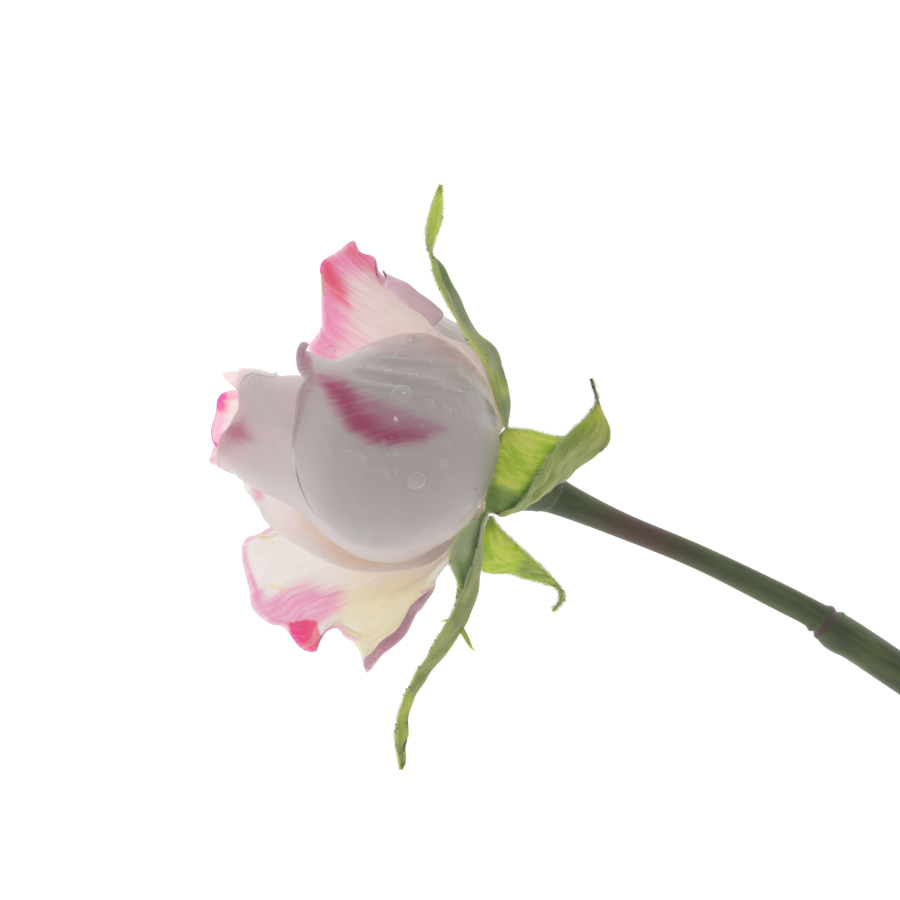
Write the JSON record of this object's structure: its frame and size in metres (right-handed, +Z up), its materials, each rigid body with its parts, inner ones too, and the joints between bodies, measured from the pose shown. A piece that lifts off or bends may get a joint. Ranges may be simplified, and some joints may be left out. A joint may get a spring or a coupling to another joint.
{
  "type": "rose flower",
  "caption": "Half-open garden rose bloom lying on its side, with blush outer petals folded round a rolled bud, reflexed green sepals and a cut stem.",
  "frame": {"origin": "middle of the part's footprint, on the surface it lies on", "axes": "+X from the bud's tip toward the cut end of the stem, +Z up from the surface, +Y to the side the opened top petal leans to"},
  "size_m": [0.1284, 0.0912, 0.0386],
  "materials": {
    "petal_outer": "soft satin petal skin, pale blush, slightly translucent",
    "petal_pink": "soft petal skin, deep pink fading to peach, translucent",
    "petal_cream": "soft petal skin, cream with pink margins, translucent",
    "sepal": "matte downy leaf skin",
    "stem": "smooth green stem skin flushed purple, low sheen",
    "dew": "clear water drops"
  },
  "bodies": {
    "root": {"petal_front": "petal_outer", "petal_under": "petal_outer", "petal_back": "petal_outer", "petal_cradle": "petal_outer", "petal_top": "petal_pink", "petal_low": "petal_cream", "petal_mid_1": "petal_cream", "petal_mid_2": "petal_cream", "petal_mid_3": "petal_cream", "petal_mid_4": "petal_cream", "petal_inner_1": "petal_cream", "petal_inner_2": "petal_cream", "petal_inner_3": "petal_cream", "petal_inner_4": "petal_cream", "petal_inner_5": "petal_cream", "petal_heart_1": "petal_cream", "petal_heart_2": "petal_cream", "petal_heart_3": "petal_cream", "petal_heart_4": "petal_cream", "petal_heart_5": "petal_cream", "petal_core_1": "petal_cream", "petal_core_2": "petal_cream", "petal_core_3": "petal_cream", "sepal_front": "sepal", "sepal_top": "sepal", "sepal_low": "sepal", "sepal_lower": "sepal", "sepal_back": "sepal", "stem": "stem"}
  },
  "joints": []
}
